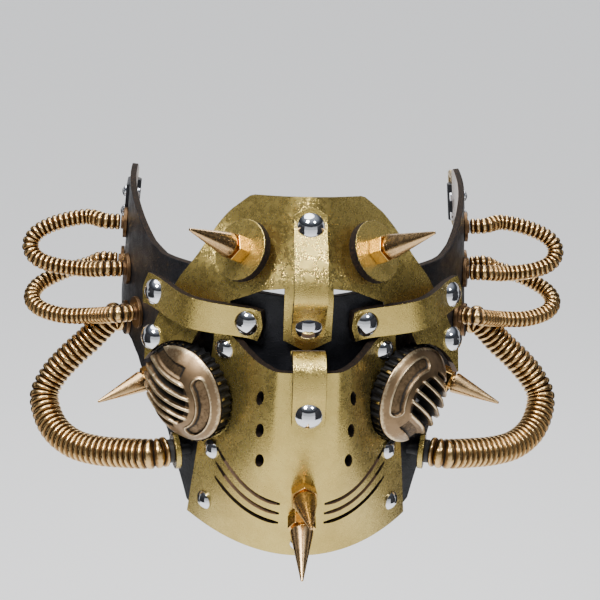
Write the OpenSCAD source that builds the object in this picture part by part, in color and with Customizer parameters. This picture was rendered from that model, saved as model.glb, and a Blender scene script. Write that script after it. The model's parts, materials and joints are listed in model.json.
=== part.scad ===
// Spiked half-face mask: a black leather face piece under gold leather plates, riveted and
// strapped together, with brass spikes, two turning louvred grilles and six bent metal hoses.
// Frame: +Z up, the wearer looks towards -Y, X across the face. The origin is the nose datum,
// on the inner face of the leather face piece. All sizes are in millimetres.

/* [Leather] */
// Thickness of every leather layer
leather_t = 2.5; // [1.5:0.1:4]
// How far back the wings reach, as a share of the plan curve
wing_reach = 1.04; // [0.9:0.01:1.1]
// Outward lean of the wings from top edge to bottom edge
wing_lean = 5.5; // [0:0.5:12]
// Width of the riveted straps
strap_w = 11; // [8:0.5:16]
// Outward bow of the two cheek straps
cheek_bow = 7.5; // [3:0.5:12]

/* [Plates] */
// Forward reach of the chin plate at its top rim
muzzle_y = -14; // [-20:0.5:-8]
// Forward reach of the chin plate at its bottom edge
chin_y = -8; // [-14:0.5:-4]
// Sideways drift of the hand-fitted chin plate at its bottom edge
chin_drift = 1; // [0:0.5:6]
// Height of the nose plate's top edge
nose_top = 40.9; // [36:0.1:46]
// Half width of the tongue below the nose plate
tongue_hw = 8.1; // [6:0.1:10]

/* [Rivets] */
// Cap radius of the large rivets
rivet_r = 4.4; // [3:0.1:6]
// Cap radius of the small chin rivets
small_r = 3.5; // [2.5:0.1:5]
// Radius of every rivet post
post_r = 1.3; // [1:0.1:2]

/* [Spikes] */
// Radius of the spike cones at the base
cone_r = 4; // [3:0.1:6]
// Length of the spike cones
cone_l = 18.5; // [12:0.5:30]
// Length of the hexagonal spike base
hex_l = 5; // [3:0.5:8]
// Half width across the corners of the hexagonal base
hex_r = 4.9; // [4:0.1:7]
// Radius of the leather discs under the brow spikes
disc_r = 10.5; // [8:0.5:14]

/* [Grilles] */
// Outer radius of the toothed rings
ring_r = 18.5; // [14:0.5:24]
// Height of the toothed rings
ring_h = 4.5; // [3:0.5:8]
// Number of teeth on each ring
ring_teeth = 40; // [20:1:60]
// Turn of the left grille about its post
left_turn = 170; // [-180:5:180]
// Turn of the right grille about its post
right_turn = -45; // [-180:5:180]
// Radial running clearance between a grille's boss and its post
grille_play = 0.05; // [0.02:0.01:0.1]

/* [Hoses] */
// Outer radius of the thin hoses
thin_r = 3.3; // [2.5:0.1:5]
// Outer radius of the thick hoses
thick_r = 5.7; // [4:0.1:8]
// Radius of the thin hose flanges
flange_r = 6.2; // [5:0.1:8]
// Number of rings along each hose
hose_rings = 34; // [16:2:60]

/* [Strap loops] */
// Wire radius of the strap loops
loop_wire = 1.25; // [0.8:0.05:2]
// Clear height inside each strap loop
loop_h = 18; // [14:1:26]
// Depth of each strap loop from bar to bar
loop_d = 9; // [8:1:18]

/* [Hidden] */
$fn = 48;
gap = 0.15;
datum = [0, -6, 0];

// ---- small helpers ----
function unit(v) = v / norm(v);
function mix(a, b, t) = a * (1 - t) + b * t;
function clamp01(t) = max(0, min(1, t));
function ease(t) = let (c = clamp01(t)) c * c * (3 - 2 * c);
function sgn(a) = a < 0 ? -1 : 1;
function flat(g) = [for (r = g) for (p = r) p];

// ---- surfaces: 0 face piece, 1 chin plate, 2 nose plate ----
// plan curve of the face piece, a parabola that straightens into two wings
function plan_x(u) = 89.5 * u / (1 + max(0, 88.5 * u * u - 25) / 260)
  - sgn(u) * 70 * pow(max(0, abs(u) - 0.86), 2);
function plan_y(u) = 3.5 + 88.5 * u * u;
function bulge(x, z) = abs(x) > 41.5 ? 0
  : (3.5 + 2.6 - chin_y - leather_t - 2.4) * (1 - x * x / 1722) * ease((-12 - z) / 74);
function lean(u) = wing_lean * max(0, abs(u) - 0.5) / 0.5;
function face(u, z) = let (x = plan_x(u))
  [x + sgn(u) * lean(u) * (4 - z) / 48, plan_y(u) - bulge(x, z), z];

// chin plate: side edges lie on the face piece, the middle stands forward
function chin_w(z) = clamp01((-10 - z) / 76);
function chin_edge(z) = mix(31.5, 41.5, chin_w(z));
function chin_mid(z) = mix(muzzle_y, chin_y, chin_w(z)) - 4.5 * sin(180 * chin_w(z));
function chin_shape(u, z) = let (a = abs(u), k = ease(chin_w(z) * 1.15))
  mix(mix(ease((a - 0.28) / 0.66), a * a, 0.12), a * a, k);
function chin(u, z) = let (x = chin_edge(z) * u,
    e = chin_edge(z),
    edge_y = 3.5 + 0.01105 * e * e - bulge(e, z) - 1.36 * leather_t - 0.3,
    x2 = x - chin_drift * chin_w(z),
    back_y = 3.5 + 0.01105 * x2 * x2 - bulge(x2, z) - (leather_t + 0.7) * sqrt(1 + pow(0.0221 * x2, 2)))
  [x2, soft_min(mix(chin_mid(z), edge_y, chin_shape(u, z)), back_y, 2), z];

// nose plate: two flat-ish panels either side of a sloping ridge, then down the cheeks
function panel_y(x, z) = -3.3 + 0.392 * (z - 12.6) + 0.752 * (sqrt(x * x + 64) - 8)
  + 0.2 * abs(x) / 25 * max(0, z - 5);
function tongue_y(x, z) = -0.262 * z + 0.012 * x * x;
function soft_min(a, b, k) = let (h = max(k - abs(a - b), 0) / k) min(a, b) - h * h * k / 4;
function nose(u, z) = let (b = face(u, z), n = normal(0, u, z),
    q = b + (leather_t + 0.6) * [n[0], n[1], 0] / norm([n[0], n[1]]),
    t = tongue_y(q[0], z) - max(0, abs(q[0]) - 10) * 4)
  [q[0], soft_min(-soft_min(-panel_y(q[0], z), -t, 3),
    q[1] + 0.045 * pow(max(0, z - 8), 2), 5), z];
function nose_on(z) = nose(0, z) + normal(2, 0, z) * (leather_t + 0.35);

function surf(k, u, z) = k == 0 ? face(u, z) : k == 1 ? chin(u, z) : nose(u, z);
function normal(k, u, z) = unit(cross(surf(k, u + 0.004, z) - surf(k, u - 0.004, z),
  surf(k, u, z + 0.4) - surf(k, u, z - 0.4)));

// ---- outlines, as heights over the curve parameter ----
function face_top(u) = lookup(abs(u), [[0, 6.8], [0.2, 8], [0.46, 12.6], [0.58, 12.2], [0.66, 14],
  [0.74, 18], [0.84, 23], [0.94, 27.5], [1.02, 30], [1.05, 28]]);
function face_bottom(u) = lookup(abs(u), [[0, -85.5], [0.47, -85.5], [0.485, -84], [0.515, -72],
  [0.55, -60], [0.59, -52], [0.64, -46.5], [0.7, -42], [0.74, -37], [0.8, -33.5],
  [0.87, -33], [0.94, -28], [1.0, -23], [1.05, -17]]);
function chin_top(u) = lookup(abs(u), [[0, -12.4], [0.55, -11.8], [0.68, -10.6], [0.8, -8.4],
  [0.9, -6.5], [1, -6.5]]);
function chin_bottom(u) = -86 - 0.8 * (1 - u * u);
function nose_up(x) = lookup(abs(x), [[0, nose_top], [4, nose_top - 0.5], [8, nose_top - 1.2],
  [17.8, nose_top - 3], [19.4, nose_top - 4.4], [25, 31.2], [30, 25], [35, 17.8], [41, 9.5],
  [45, 2], [48.5, -5], [52, -14],
  [54.5, -21.5], [55, -24]]);
function nose_low(x) = lookup(abs(x), [[0, -11], [tongue_hw - 0.6, -7], [tongue_hw + 3, -6.5], [25, 4],
  [30, 0], [35, -8], [38, -14], [41, -22], [43.5, -26], [48, -28], [53, -27.5], [55, -25]]);
function nose_notch() = [[tongue_hw, 12], [15.3, 10.3], [26, 4.8], [26, -12], [tongue_hw, -12]];
function top_z(k, u) = k == 0 ? face_top(u) : k == 1 ? chin_top(u) : nose_up(face(u, 0)[0]);
function low_z(k, u) = k == 0 ? face_bottom(u) : k == 1 ? chin_bottom(u) : nose_low(face(u, 0)[0]);

// ---- solids from two matching grids of points ----
module slab(a, b) {
  n = len(a);
  m = len(a[0]);
  o = n * m;
  tops = [for (i = [0:n-2]) for (j = [0:m-2]) for (t = [0, 1])
    let (p = i * m + j) t == 0 ? [p, p + 1, p + m + 1] : [p, p + m + 1, p + m]];
  lows = [for (f = tops) [f[0] + o, f[2] + o, f[1] + o]];
  rim = concat([for (j = [0:m-2]) j], [for (i = [0:n-2]) i * m + m - 1],
    [for (j = [m-1:-1:1]) (n - 1) * m + j], [for (i = [n-1:-1:1]) i * m]);
  q = len(rim);
  sides = [for (i = [0:q-1]) for (t = [0, 1]) let (s = rim[i], e = rim[(i + 1) % q])
    t == 0 ? [s, s + o, e + o] : [s, e + o, e]];
  polyhedron(concat(flat(a), flat(b)), [for (f = concat(tops, lows, sides)) [f[2], f[1], f[0]]],
    convexity = 8);
}

function sheet_grid(k, us, nv, off) = [for (u = us) [for (j = [0:nv])
  let (z = mix(top_z(k, u), low_z(k, u), j / nv)) surf(k, u, z) + normal(k, u, z) * off + datum]];

module sheet(k, us, nv) {
  slab(sheet_grid(k, us, nv, 0), sheet_grid(k, us, nv, -leather_t));
}

// a frame on a surface: children stand on it with +Z along the outward normal
module on_surface(k, u, z, off = 0) {
  stand(surf(k, u, z) + normal(k, u, z) * off + datum, normal(k, u, z)) children();
}
module stand(p, n) {
  a = abs(n[2]) > 0.99 ? [1, 0, 0] : unit(cross([0, 0, 1], n));
  b = cross(n, a);
  multmatrix([[a[0], b[0], n[0], p[0]], [a[1], b[1], n[1], p[1]], [a[2], b[2], n[2], p[2]],
    [0, 0, 0, 1]]) children();
}

// ---- paths ----
function cr(p0, p1, p2, p3, t) = 0.5 * (2 * p1 + (p2 - p0) * t
  + (2 * p0 - 5 * p1 + 4 * p2 - p3) * t * t + (3 * p1 - p0 - 3 * p2 + p3) * t * t * t);
function spline(ps, t) = let (n = len(ps) - 1, s = min(n - 0.0001, t * n), i = floor(s))
  cr(i == 0 ? 2 * ps[0] - ps[1] : ps[i-1], ps[i], ps[i+1],
    i + 2 > n ? 2 * ps[n] - ps[n-1] : ps[i+2], s - i);
function tangent(ps, t) = unit(spline(ps, min(1, t + 0.005)) - spline(ps, max(0, t - 0.005)));

// strap along a path of outer-face points; up is the rough direction of its outer face
function strap_hw(t, l) = let (d = min(t, 1 - t) * l) strap_w / 2 * min(1, 0.12 + d / 3.6);
function strap_grid(ps, ups, l, n, off) = [for (i = [0:n]) let (t = i / n, c = spline(ps, t),
    d = tangent(ps, t), a = unit(cross(d, spline(ups, t))), m = cross(a, d))
  [for (j = [-1, 0, 1]) c + a * strap_hw(t, l) * j + m * off + datum]];
module strap(ps, ups, l, n = 28) {
  slab(strap_grid(ps, ups, l, n, 0), strap_grid(ps, ups, l, n, -leather_t));
}

// round tube along a path
module tube(ps, r, n, sides = 12) {
  a = [for (i = [0:n]) let (t = i / n, c = spline(ps, t), d = tangent(ps, t),
      e = unit(cross(d, [0, 0.68, -0.73])), f = cross(d, e))
    [for (j = [0:sides-1]) c + r * (e * cos(360 * j / sides) + f * sin(360 * j / sides)) + datum]];
  pts = flat(a);
  side = [for (i = [0:n-1]) for (j = [0:sides-1]) for (t = [0, 1])
    let (p = i * sides + j, q = i * sides + (j + 1) % sides)
    t == 0 ? [p, q, q + sides] : [p, q + sides, p + sides]];
  cap0 = [[for (j = [sides-1:-1:0]) j]];
  cap1 = [[for (j = [0:sides-1]) n * sides + j]];
  polyhedron(pts, [for (f = concat(side, cap0, cap1)) [for (k = [len(f)-1:-1:0]) f[k]]],
    convexity = 8);
}

// ---- rivets: domed cap, post and flat back cap; z = 0 is the seat of the cap ----
module rivet(r, deep) {
  h = r * 0.5;
  big = (r * r + h * h) / (2 * h);
  translate([0, 0, 0.05]) cylinder(r = r, h = 0.5);
  translate([0, 0, 0.5]) intersection() {
    translate([0, 0, h - big]) sphere(r = big);
    cylinder(r = r, h = h + 1);
  }
  translate([0, 0, -deep]) cylinder(r = post_r, h = deep + 0.3);
  translate([0, 0, -deep - 0.8]) cylinder(r = r * 0.75, h = 0.8);
}

// ---- spikes, z = 0 at the seat ----
module hex_base() {
  linear_extrude(hex_l) polygon([for (i = [0:5]) hex_r * [cos(60 * i), sin(60 * i)]]);
  translate([0, 0, hex_l - 0.2]) cylinder(r = cone_r * 0.72, h = 1.2);
}
module screw(deep) {
  translate([0, 0, -deep]) cylinder(r = 1.5, h = deep + 0.4);
  translate([0, 0, -deep - 1.2]) cylinder(r = 3.4, h = 1.2);
}
module cone_tip() {
  translate([0, 0, hex_l + 1.05]) {
    cylinder(r = cone_r, h = 0.8);
    translate([0, 0, 0.8]) cylinder(r1 = cone_r, r2 = 0.45, h = cone_l - 0.8);
  }
}

// ---- placements ----
brow_u = 0.208;
brow_z = 20;
function brow_n(s) = unit([0.62 * s, -0.62, 0.46]);
function brow_p(s) = nose(s * brow_u, brow_z) + normal(2, s * brow_u, brow_z) * 2.8 + datum;
side_u = 0.612;
side_z = -37.5;
function side_n(s) = unit([0.82 * s, -0.52, -0.2]);
function side_p(s) = face(s * side_u, side_z) + normal(0, s * side_u, side_z) * 0.3 + datum;
upper_z = -57.5;
lower_z = -67.5;
ring_u = 0.405;
ring_shift = 3.6;
ring_z = -32;
ring_lift = 4.6;
function ring_n(s) = let (n = normal(0, s * ring_u, ring_z)) unit([n[0], n[1], 0]);
function ring_p(s) = face(s * ring_u, ring_z) + ring_n(s) * ring_lift + datum
  + (s > 0 ? ring_shift * [-0.85, -0.2, 0] : [0, 0, 0]);
grille_seat = ring_h + 0.3;

// ---- leather nodes ----
module leather_base() {
  us = concat([for (i = [-52:52]) i * wing_reach / 52]);
  color([0.13, 0.13, 0.16]) sheet(0, us, 10);
}
module nose_plate() {
  us = [for (i = [-36:36]) i * 0.618 / 36];
  color([0.72, 0.66, 0.42]) difference() {
    sheet(2, us, 16);
    for (s = [0, 1]) mirror([s, 0, 0]) translate([0, 20, 0]) rotate([90, 0, 0])
      linear_extrude(60) polygon(nose_notch());
    for (s = [-1, 1]) stand(brow_p(s), brow_n(s)) translate([0, 0, -9]) cylinder(r = 1.6, h = 12);
    for (s = [-1, 1]) ring_room(s);
  }
}
// room behind each gear ring
module ring_room(s) {
  stand(ring_p(s), ring_n(s)) translate([0, 0, -0.4]) cylinder(r = ring_r + 0.6, h = 16);
}
slot_z = [-63, -67.5, -72];
module chin_plate() {
  us = [for (i = [-28:28]) i / 28];
  color([0.74, 0.68, 0.44]) difference() {
    sheet(1, us, 16);
    for (s = [-1, 1]) {
      for (i = [0:2]) on_surface(1, s * (0.47 - 0.025 * i), -23.5 - 11.5 * i, 0)
        rotate([0, 0, s * 24]) translate([0, 0, -6]) linear_extrude(10) scale([1.75, 2.9])
          circle(r = 1, $fn = 20);
      for (i = [0:2]) slab(slot_grid(s, i, 4), slot_grid(s, i, -7));
      ring_room(s);
    }
    for (z = [upper_z, lower_z]) on_surface(1, 0, z, 0) translate([0, 0, -9])
      cylinder(r = 1.6, h = 12, $fn = 16);
  }
}
// a slot is a thin band that follows the chin surface and tapers to its ends
function slot_grid(s, i, off) = [for (k = [0:14]) let (t = k / 14, u = s * mix(0.2, 0.82 - 0.01 * i, t),
    zc = slot_z[i] + (12 - 1.5 * i) * t * t, h = 0.95 * min(1, 0.5 + 5 * (1 - t), 0.5 + 5 * t))
  [for (z = s > 0 ? [zc + h, zc - h] : [zc - h, zc + h])
    chin(u, z) + normal(1, u, z) * off + datum]];

// ---- straps: outer-face points ----
lift = leather_t + gap;
nose_path = [nose_on(37.4), nose_on(31.6), [0, -6.8, 24], [0, -11.8, 13], [0, -7.2, 5.6],
  nose_on(0), nose_on(-6)];
nose_ups = [[0, -0.93, 0.37], [0, -0.9, 0.43], [0, -0.86, 0.5], [0, -1, 0], [0, -0.93, -0.35],
  [0, -0.96, -0.28], [0, -0.97, -0.25]];
module nose_strap() {
  color([0.78, 0.7, 0.42]) strap(nose_path, nose_ups, 50);
}
module nose_rivets() {
  color([0.8, 0.8, 0.83]) {
    stand(nose_on(31.6) + datum, normal(2, 0, 31.6)) rivet(rivet_r, 5.7);
    stand(nose_on(0) + datum, unit([0, -0.99, -0.14])) rivet(rivet_r, 9.8);
  }
}
front_lift = 2.65;
chin_ps = [[0, 0.4, -15.5], [0, -3, -10.5], [0, -9.5, -6.4], [0, -16.6, -8.8], [0, -18.9, -16.5],
  [0, chin_mid(-25.5) - front_lift, -25.5], [0, chin_mid(-32) - front_lift, -32]];
chin_ups = [[0, -0.7, 0.7], [0, -0.5, 0.86], [0, -0.2, 1], [0, -0.8, 0.6], [0, -1, 0.2],
  [0, -1, 0.08], [0, -1, 0.05]];
module chin_strap() {
  color([0.76, 0.68, 0.4]) strap(chin_ps, chin_ups, 46);
}
module chin_strap_rivet() {
  color([0.8, 0.8, 0.83]) stand([0, chin_mid(-25.5) - front_lift, -25.5] + datum,
    unit([0, -1, 0.08])) rivet(rivet_r, 5.6);
}

out_u = 0.545;
out_z = 1;
in_u = 0.217;
in_z = -2.6;
function cheek_out(s) = nose(s * out_u, out_z) + normal(2, s * out_u, out_z) * (lift + 0.2);
function cheek_in(s) = face(s * in_u, in_z) + normal(0, s * in_u, in_z) * (lift + 0.5);
function cheek_mid(s) = mix(cheek_out(s), cheek_in(s), 0.54) + unit([0.6 * s, -0.8, 0.1]) * cheek_bow;
function cheek_dir(s) = unit(cheek_in(s) - cheek_out(s));
function cheek_on(s) = normal(2, s * out_u, out_z);
function cheek_ps(s) = [cheek_out(s) - (cheek_dir(s) - cheek_on(s) * (cheek_dir(s) * cheek_on(s))) * 6,
  cheek_out(s), cheek_mid(s), cheek_in(s),
  cheek_in(s) + (cheek_dir(s) - normal(0, s * in_u, in_z) * (cheek_dir(s) * normal(0, s * in_u, in_z))) * 6];
function cheek_ups(s) = [normal(2, s * out_u, out_z), normal(2, s * out_u, out_z),
  unit([0.6 * s, -0.8, 0.1]), normal(0, s * in_u, in_z), normal(0, s * in_u, in_z)];
module cheek_strap(s) {
  color([0.7, 0.62, 0.36]) strap(cheek_ps(s), cheek_ups(s), 54);
}
module cheek_rivets(s) {
  color([0.8, 0.8, 0.83]) {
    stand(cheek_out(s) + datum, normal(2, s * out_u, out_z)) rivet(rivet_r, 7.9);
    stand(cheek_in(s) + datum, normal(0, s * in_u, in_z)) rivet(rivet_r, 5.75);
    stand(nose(s * 0.585, -15) + datum, normal(2, s * 0.585, -15)) rivet(rivet_r, 5.3);
  }
}
module chin_rivets() {
  color([0.8, 0.8, 0.83]) for (s = [-1, 1]) {
    on_surface(1, s * 0.87, -13.8) rivet(small_r, 5.8);
    on_surface(1, s * 0.86, -53) rivet(small_r, 6.4);
    on_surface(1, s * 0.86, -75.5) rivet(small_r, 5.6);
  }
  color([0.8, 0.8, 0.83]) on_surface(1, 0, -81) rivet(small_r, 6);
}

// ---- spikes ----
module brow_disc(s) {
  color([0.66, 0.6, 0.36]) stand(brow_p(s), brow_n(s)) difference() {
    cylinder(r = disc_r, h = 3.2);
    translate([0, 0, -1]) cylinder(r = 1.6, h = 6);
  }
}
module brow_hex(s) {
  color([0.8, 0.6, 0.3]) stand(brow_p(s), brow_n(s)) translate([0, 0, 3.25]) {
    hex_base();
    screw(9.4);
  }
}
module brow_cone(s) {
  color([0.72, 0.6, 0.42]) stand(brow_p(s), brow_n(s)) translate([0, 0, 3.25]) cone_tip();
}
module side_hex(s) {
  color([0.8, 0.6, 0.3]) stand(side_p(s), side_n(s)) {
    hex_base();
    screw(4.4);
  }
}
module side_cone(s) {
  color([0.75, 0.58, 0.36]) stand(side_p(s), side_n(s)) cone_tip();
}
module chin_hex(z, turn, n) {
  color([0.82, 0.66, 0.4]) stand(chin(0, z) + normal(1, 0, z) * 0.3 + datum, n)
    rotate([0, 0, turn]) {
      hex_base();
      screw(4.2);
    }
}
module chin_cone(z, n) {
  color([0.76, 0.66, 0.48]) stand(chin(0, z) + normal(1, 0, z) * 0.3 + datum, n) cone_tip();
}
upper_n = unit([0.05, -0.985, 0.12]);
lower_n = unit([-0.03, -0.9, -0.4]);

// ---- grilles ----
module gear_ring(s) {
  color([0.1, 0.1, 0.1]) stand(ring_p(s), ring_n(s)) {
    linear_extrude(ring_h) difference() {
      polygon([for (i = [0:ring_teeth-1]) for (k = [0, 1, 2, 3]) let (a = 360 * (i + k / 4) / ring_teeth)
        (ring_r - (k < 2 ? 0 : 0.9)) * [cos(a), sin(a)]]);
      circle(r = ring_r - 3);
    }
    linear_extrude(0.8) difference() {
      circle(r = ring_r - 2.9);
      circle(r = 2.3);
    }
  }
}
module ring_post(s) {
  color([0.3, 0.3, 0.32]) stand(ring_p(s), ring_n(s)) {
    translate([0, 0, -ring_lift - leather_t - 1]) cylinder(r = 4, h = 0.9);
    translate([0, 0, -ring_lift - leather_t - 0.2]) cylinder(r = 2, h = ring_lift + leather_t + grille_seat + 2.5);
  }
}
module backing(s) {
  color([0.05, 0.05, 0.05]) stand(ring_p(s), ring_n(s)) translate([0, 0, 1.2]) difference() {
    cylinder(r = ring_r - 3.4, h = 1);
    translate([0, 0, -1]) cylinder(r = 2.15, h = 3);
  }
}
dome_h = 8;
dome_w = 17.8;
dome_r = (dome_w * dome_w + dome_h * dome_h) / (2 * dome_h);
fin_gap = 4;
module ball(d) {
  translate([0, 0, dome_h - dome_r]) sphere(r = dome_r + d, $fn = 96);
}
module layer(low, high) {
  intersection() {
    difference() {
      ball(high);
      ball(low);
    }
    linear_extrude(12) children();
  }
}
module kidney(grow) {
  offset(r = 1.9 + grow, $fn = 24) difference() {
    circle(r = 12.9, $fn = 64);
    circle(r = 11.9, $fn = 64);
    translate([-7.6, -20]) square([30, 40]);
  }
}
module grille_body() {
  translate([0, 0, grille_seat]) {
    // domed shell: slots between the louvre fins, a pocket either side, a kidney-shaped recess
    difference() {
      intersection() {
        ball(0);
        cylinder(r = dome_w, h = 12);
      }
      intersection() {
        ball(-2.2);
        translate([0, 0, -1]) cylinder(r = dome_w - 1.6, h = 12);
      }
      for (i = [-1.5:1.5]) translate([-4.5, i * fin_gap - 1.35, 1.1]) cube([24, 2.7, 12]);
      translate([-2, 9.7, 1.1]) cube([22, 1.3, 12]);
      layer(-1.3, 1) {
        translate([-3, -13.45]) square([24, 4.2]);
        translate([-1, 9.7]) square([24, 2.9]);
      }
      layer(-0.8, 1) kidney(0);
    }
    // louvre fins stand proud of the dome, and so does the kidney's border
    layer(-2.2, 0.7) for (i = [-2:2]) translate([-5.4, i * fin_gap - 0.65])
      square([sqrt(302 - i * i * fin_gap * fin_gap) + 5.4, 1.3]);
    layer(-0.9, 0.35) difference() {
      kidney(0.55);
      kidney(0);
    }
    // boss that turns on the post
    difference() {
      translate([0, 0, 0.3]) cylinder(r = 3.3, h = dome_h - 2.4);
      translate([0, 0, -1]) cylinder(r = 2 + grille_play, h = 4.2);
    }
  }
}
module grille(s, turn) {
  color([0.55, 0.45, 0.32]) stand(ring_p(s), ring_n(s)) rotate([0, 0, turn]) grille_body();
}

// ---- hoses, drawn on the right side and mirrored ----
function side(s, ps) = [for (p = ps) [p[0] * s, p[1], p[2]]];
f1r = [0.955, 8];
f1f = [0.862, -6.6];
f2r = [0.98, -10];
f2f = [0.745, -18.5];
f3r = [0.845, -26.5];
f3f = [0.466, -61.5];
function at(f, off) = face(f[0], f[1]) + normal(0, f[0], f[1]) * off;
f3_n = unit([0.96, -0.28, 0]);
function f3_out(d) = face(f3f[0], f3f[1]) + f3_n * (d + 1.2);
upper_ps = [at(f1r, 2.8), at(f1r, 9), [85.5, 86, 9.6], [96.5, 83.5, 8], [104.5, 80.5, 4.7],
  [107.3, 77.5, 0.3], [104.7, 74.5, -4.2], [96.8, 72, -6.6], [85, 70, -7.3], at(f1f, 9), at(f1f, 2.7)];
middle_ps = [at(f2r, 2.7), at(f2r, 9), [86, 88, -11.4], [96, 85.5, -14], [105, 79.5, -17.2],
  [107.3, 73, -20.4], [103.4, 67.5, -23.2], [93.5, 62.5, -24.2], [81, 58, -22.4],
  at(f2f, 9), at(f2f, 2.7)];
lower_ps = [at(f3r, 1.8), at(f3r, 7), [83.5, 62.5, -34.5], [91, 60, -41], [97.5, 57.5, -48],
  [100.8, 53.5, -54.6], [98.8, 47.5, -60.5], [94, 41, -64.6], [86, 34, -66.4], [76, 27.6, -65.4],
  [65, 22.5, -63.4], f3_out(13), f3_out(6.9)];
module thin_hose(s, ps) {
  color([0.62, 0.48, 0.3]) tube(side(s, ps), thin_r, hose_rings);
}
module thick_hose(s) {
  color([0.58, 0.44, 0.28]) tube(side(s, lower_ps), thick_r, hose_rings + 4);
}
module hose_flanges(s) {
  color([0.4, 0.3, 0.2]) {
    for (f = [f1r, f1f, f2r, f2f]) on_surface(0, s * f[0], f[1], 0.1) {
      cylinder(r = flange_r, h = 1.4);
      translate([0, 0, 1.4]) cylinder(r = thin_r - 0.5, h = 0.9);
      translate([0, 0, -leather_t - 1.1]) {
        cylinder(r = 1.6, h = 1.6 + leather_t);
        cylinder(r = 3.4, h = 0.9);
      }
    }
    on_surface(0, s * f3r[0], f3r[1], 0.1) {
      cylinder(r = thick_r + 1.2, h = 1.4);
      translate([0, 0, -leather_t - 1.1]) {
        cylinder(r = 1.6, h = 1.6 + leather_t);
        cylinder(r = 3.4, h = 0.9);
      }
    }
  }
}
module hose_seat(s, off) {
  p = face(f3f[0], f3f[1]) + f3_n * off;
  stand([p[0] * s, p[1], p[2]] + datum, [f3_n[0] * s, f3_n[1], f3_n[2]]) children();
}
module hose_disc(s) {
  color([0.66, 0.58, 0.36]) hose_seat(s, 4) difference() {
    cylinder(r = 6.9, h = 2);
    translate([0, 0, -1]) cylinder(r = 2, h = 4);
  }
}
module hose_collar(s) {
  color([0.08, 0.08, 0.08]) hose_seat(s, 6.05) {
    cylinder(r = 4.4, h = 1.8);
    translate([0, 0, -leather_t - 8.8]) {
      cylinder(r = 1.9, h = 9 + leather_t);
      cylinder(r = 3.6, h = 0.8);
    }
  }
}

// ---- strap tabs and loops at the ends of the wings ----
tab_z = 14;
end_u = wing_reach;
function tab_zt(s) = unit(face(s * end_u, tab_z + 4) - face(s * end_u, tab_z - 4));
function tab_d(s) = let (c = face(s * end_u, tab_z) - face(s * (end_u - 0.09), tab_z), z = tab_zt(s))
  unit(c - z * (c * z));
function tab_n(s) = s * cross(tab_d(s), tab_zt(s));
function bar_p(s) = face(s * end_u, tab_z) - tab_n(s) * leather_t / 2 + tab_d(s) * 3.5 + datum;
module tab_frame(s) {
  d = tab_d(s);
  n = tab_n(s);
  z = tab_zt(s);
  p = bar_p(s);
  multmatrix([[d[0], n[0], z[0], p[0]], [d[1], n[1], z[1], p[1]], [d[2], n[2], z[2], p[2]],
    [0, 0, 0, 1]]) children();
}
module strap_tab(s) {
  color([0.12, 0.12, 0.14]) tab_frame(s) translate([0, 0, -8]) linear_extrude(16) difference() {
    union() {
      circle(r = loop_wire + 1.65);
      translate([-11.6, loop_wire + 0.35]) square([11.6, 1.3]);
    }
    circle(r = loop_wire + 0.06);
  }
}
module tab_rivets(s) {
  color([0.8, 0.8, 0.83]) tab_frame(s) for (z = [-4.2, 4.2])
    translate([-7.7, loop_wire + 1.65, z]) rotate([-90, 0, 0]) rivet(2.4, 4.7);
}
module strap_loop(s) {
  h = loop_h / 2 + loop_wire;
  color([0.75, 0.62, 0.36]) tab_frame(s) {
    for (x = [0, loop_d]) translate([x, 0, -h]) cylinder(r = loop_wire, h = 2 * h);
    for (z = [-h, h]) {
      translate([0, 0, z]) rotate([0, 90, 0]) cylinder(r = loop_wire, h = loop_d);
      for (x = [0, loop_d]) translate([x, 0, z]) sphere(r = loop_wire);
    }
  }
}

leather_base();
nose_plate();
chin_plate();
nose_strap();
chin_strap();
cheek_strap(-1);  // left_cheek_strap
cheek_strap(1);  // right_cheek_strap
brow_disc(-1);  // left_brow_disc
brow_disc(1);  // right_brow_disc
brow_hex(-1);  // left_brow_hex
brow_hex(1);  // right_brow_hex
brow_cone(-1);  // left_brow_cone
brow_cone(1);  // right_brow_cone
side_hex(-1);  // left_side_hex
side_hex(1);  // right_side_hex
side_cone(-1);  // left_side_cone
side_cone(1);  // right_side_cone
chin_hex(upper_z, 30, upper_n);  // upper_chin_hex
chin_hex(lower_z, 0, lower_n);  // lower_chin_hex
chin_cone(upper_z, upper_n);  // upper_chin_cone
chin_cone(lower_z, lower_n);  // lower_chin_cone
nose_rivets();
cheek_rivets(-1);  // left_cheek_rivets
cheek_rivets(1);  // right_cheek_rivets
chin_rivets();
chin_strap_rivet();
gear_ring(-1);  // left_gear_ring
gear_ring(1);  // right_gear_ring
ring_post(-1);  // left_ring_post
ring_post(1);  // right_ring_post
backing(-1);  // left_backing
backing(1);  // right_backing
grille(-1, left_turn);  // left_grille
grille(1, right_turn);  // right_grille
thin_hose(-1, upper_ps);  // left_upper_hose
thin_hose(-1, middle_ps);  // left_middle_hose
thick_hose(-1);  // left_lower_hose
thin_hose(1, upper_ps);  // right_upper_hose
thin_hose(1, middle_ps);  // right_middle_hose
thick_hose(1);  // right_lower_hose
hose_flanges(-1);  // left_hose_flanges
hose_flanges(1);  // right_hose_flanges
hose_disc(-1);  // left_hose_disc
hose_disc(1);  // right_hose_disc
hose_collar(-1);  // left_hose_collar
hose_collar(1);  // right_hose_collar
strap_tab(-1);  // left_strap_tab
strap_tab(1);  // right_strap_tab
tab_rivets(-1);  // left_tab_rivets
tab_rivets(1);  // right_tab_rivets
strap_loop(-1);  // left_strap_loop
strap_loop(1);  // right_strap_loop
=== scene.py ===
"""Looks of a spiked half-face mask: gold and black leather, chrome rivets, brass spikes, bronze hoses.

Every piece stands where its CAD node stands. Sizes are metres in the shared frame: -Y is the front,
+Z is up and +X runs across the mask.
"""

import json
import logging
import math
from dataclasses import dataclass, field
from enum import Enum

import bmesh
import bpy
import numpy as np
from mathutils import Matrix, Vector
from mathutils.bvhtree import BVHTree

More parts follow.
